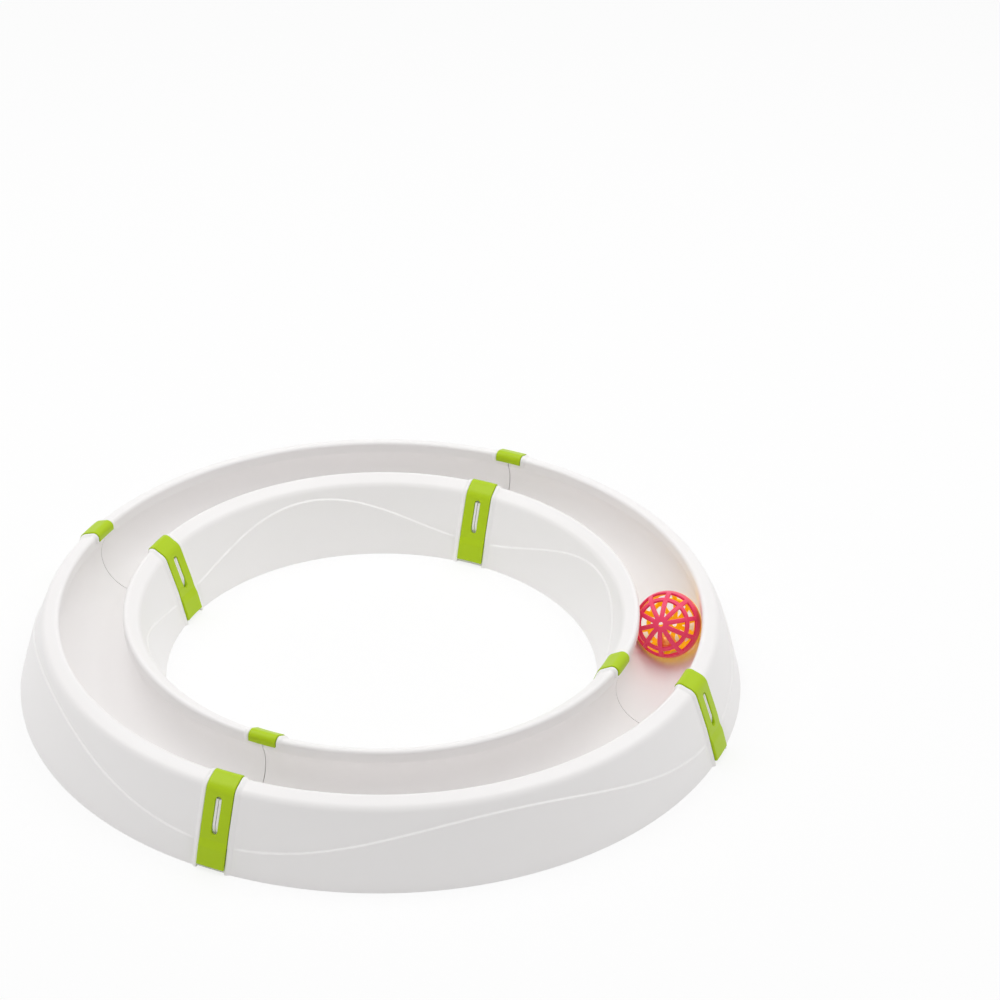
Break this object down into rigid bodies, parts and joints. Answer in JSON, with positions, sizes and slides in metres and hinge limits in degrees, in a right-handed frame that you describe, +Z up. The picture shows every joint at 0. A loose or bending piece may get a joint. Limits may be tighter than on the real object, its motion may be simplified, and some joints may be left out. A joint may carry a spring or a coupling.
{
  "type": "cat ball track toy",
  "caption": "Ring-shaped channel track of white moulded segments held by green strap clips, with a captive two-colour lattice ball that rolls round it for a cat to chase.",
  "frame": {"origin": "centre of the ring on the floor, at the bottom of the skirts", "axes": "+Z up along the ring's axis, +X and +Y through the middles of the right and back segments, joints at 45 degrees between them"},
  "size_m": [0.48, 0.48, 0.055],
  "materials": {
    "white_plastic": "satin moulded white plastic",
    "green_plastic": "satin moulded lime green plastic",
    "pink_plastic": "satin moulded pink plastic",
    "yellow_plastic": "satin moulded yellow plastic",
    "bell_brass": "pressed bright brass",
    "pellet_steel": "plain steel"
  },
  "bodies": {
    "track": {"front_segment": "white_plastic", "right_segment": "white_plastic", "back_segment": "white_plastic", "left_segment": "white_plastic"},
    "bell": {"bell_shell": "bell_brass", "bell_pellet": "pellet_steel"},
    "ball": {"ball_half_pink": "pink_plastic", "ball_half_yellow": "yellow_plastic"},
    "outer_clip_front_left": {"outer_clip_front_left": "green_plastic"},
    "outer_clip_front_right": {"outer_clip_front_right": "green_plastic"},
    "outer_clip_back_right": {"outer_clip_back_right": "green_plastic"},
    "outer_clip_back_left": {"outer_clip_back_left": "green_plastic"},
    "inner_clip_front_left": {"inner_clip_front_left": "green_plastic"},
    "inner_clip_front_right": {"inner_clip_front_right": "green_plastic"},
    "inner_clip_back_right": {"inner_clip_back_right": "green_plastic"},
    "inner_clip_back_left": {"inner_clip_back_left": "green_plastic"}
  },
  "joints": [
    {"name": "ball_orbit", "type": "hinge", "parent": "track", "child": "bell", "pos_m": [0, 0, 0.0314], "axis": [0, 0, 1], "continuous": true},
    {"name": "ball_roll", "type": "hinge", "parent": "bell", "child": "ball", "pos_m": [0.18113, -0.06061, 0.0314], "axis": [0.9483, -0.3173, 0], "continuous": true},
    {"name": "outer_clip_front_left_lift", "type": "slide", "parent": "track", "child": "outer_clip_front_left", "axis": [0, 0, 1], "range_m": [0, 0.06]},
    {"name": "outer_clip_front_right_lift", "type": "slide", "parent": "track", "child": "outer_clip_front_right", "axis": [0, 0, 1], "range_m": [0, 0.06]},
    {"name": "outer_clip_back_right_lift", "type": "slide", "parent": "track", "child": "outer_clip_back_right", "axis": [0, 0, 1], "range_m": [0, 0.06]},
    {"name": "outer_clip_back_left_lift", "type": "slide", "parent": "track", "child": "outer_clip_back_left", "axis": [0, 0, 1], "range_m": [0, 0.06]},
    {"name": "inner_clip_front_left_lift", "type": "slide", "parent": "track", "child": "inner_clip_front_left", "axis": [0, 0, 1], "range_m": [0, 0.06]},
    {"name": "inner_clip_front_right_lift", "type": "slide", "parent": "track", "child": "inner_clip_front_right", "axis": [0, 0, 1], "range_m": [0, 0.06]},
    {"name": "inner_clip_back_right_lift", "type": "slide", "parent": "track", "child": "inner_clip_back_right", "axis": [0, 0, 1], "range_m": [0, 0.06]},
    {"name": "inner_clip_back_left_lift", "type": "slide", "parent": "track", "child": "inner_clip_back_left", "axis": [0, 0, 1], "range_m": [0, 0.06]}
  ],
  "couplings": [
    {"joint": "ball_roll", "follows": "ball_orbit", "ratio": -8.4513}
  ]
}
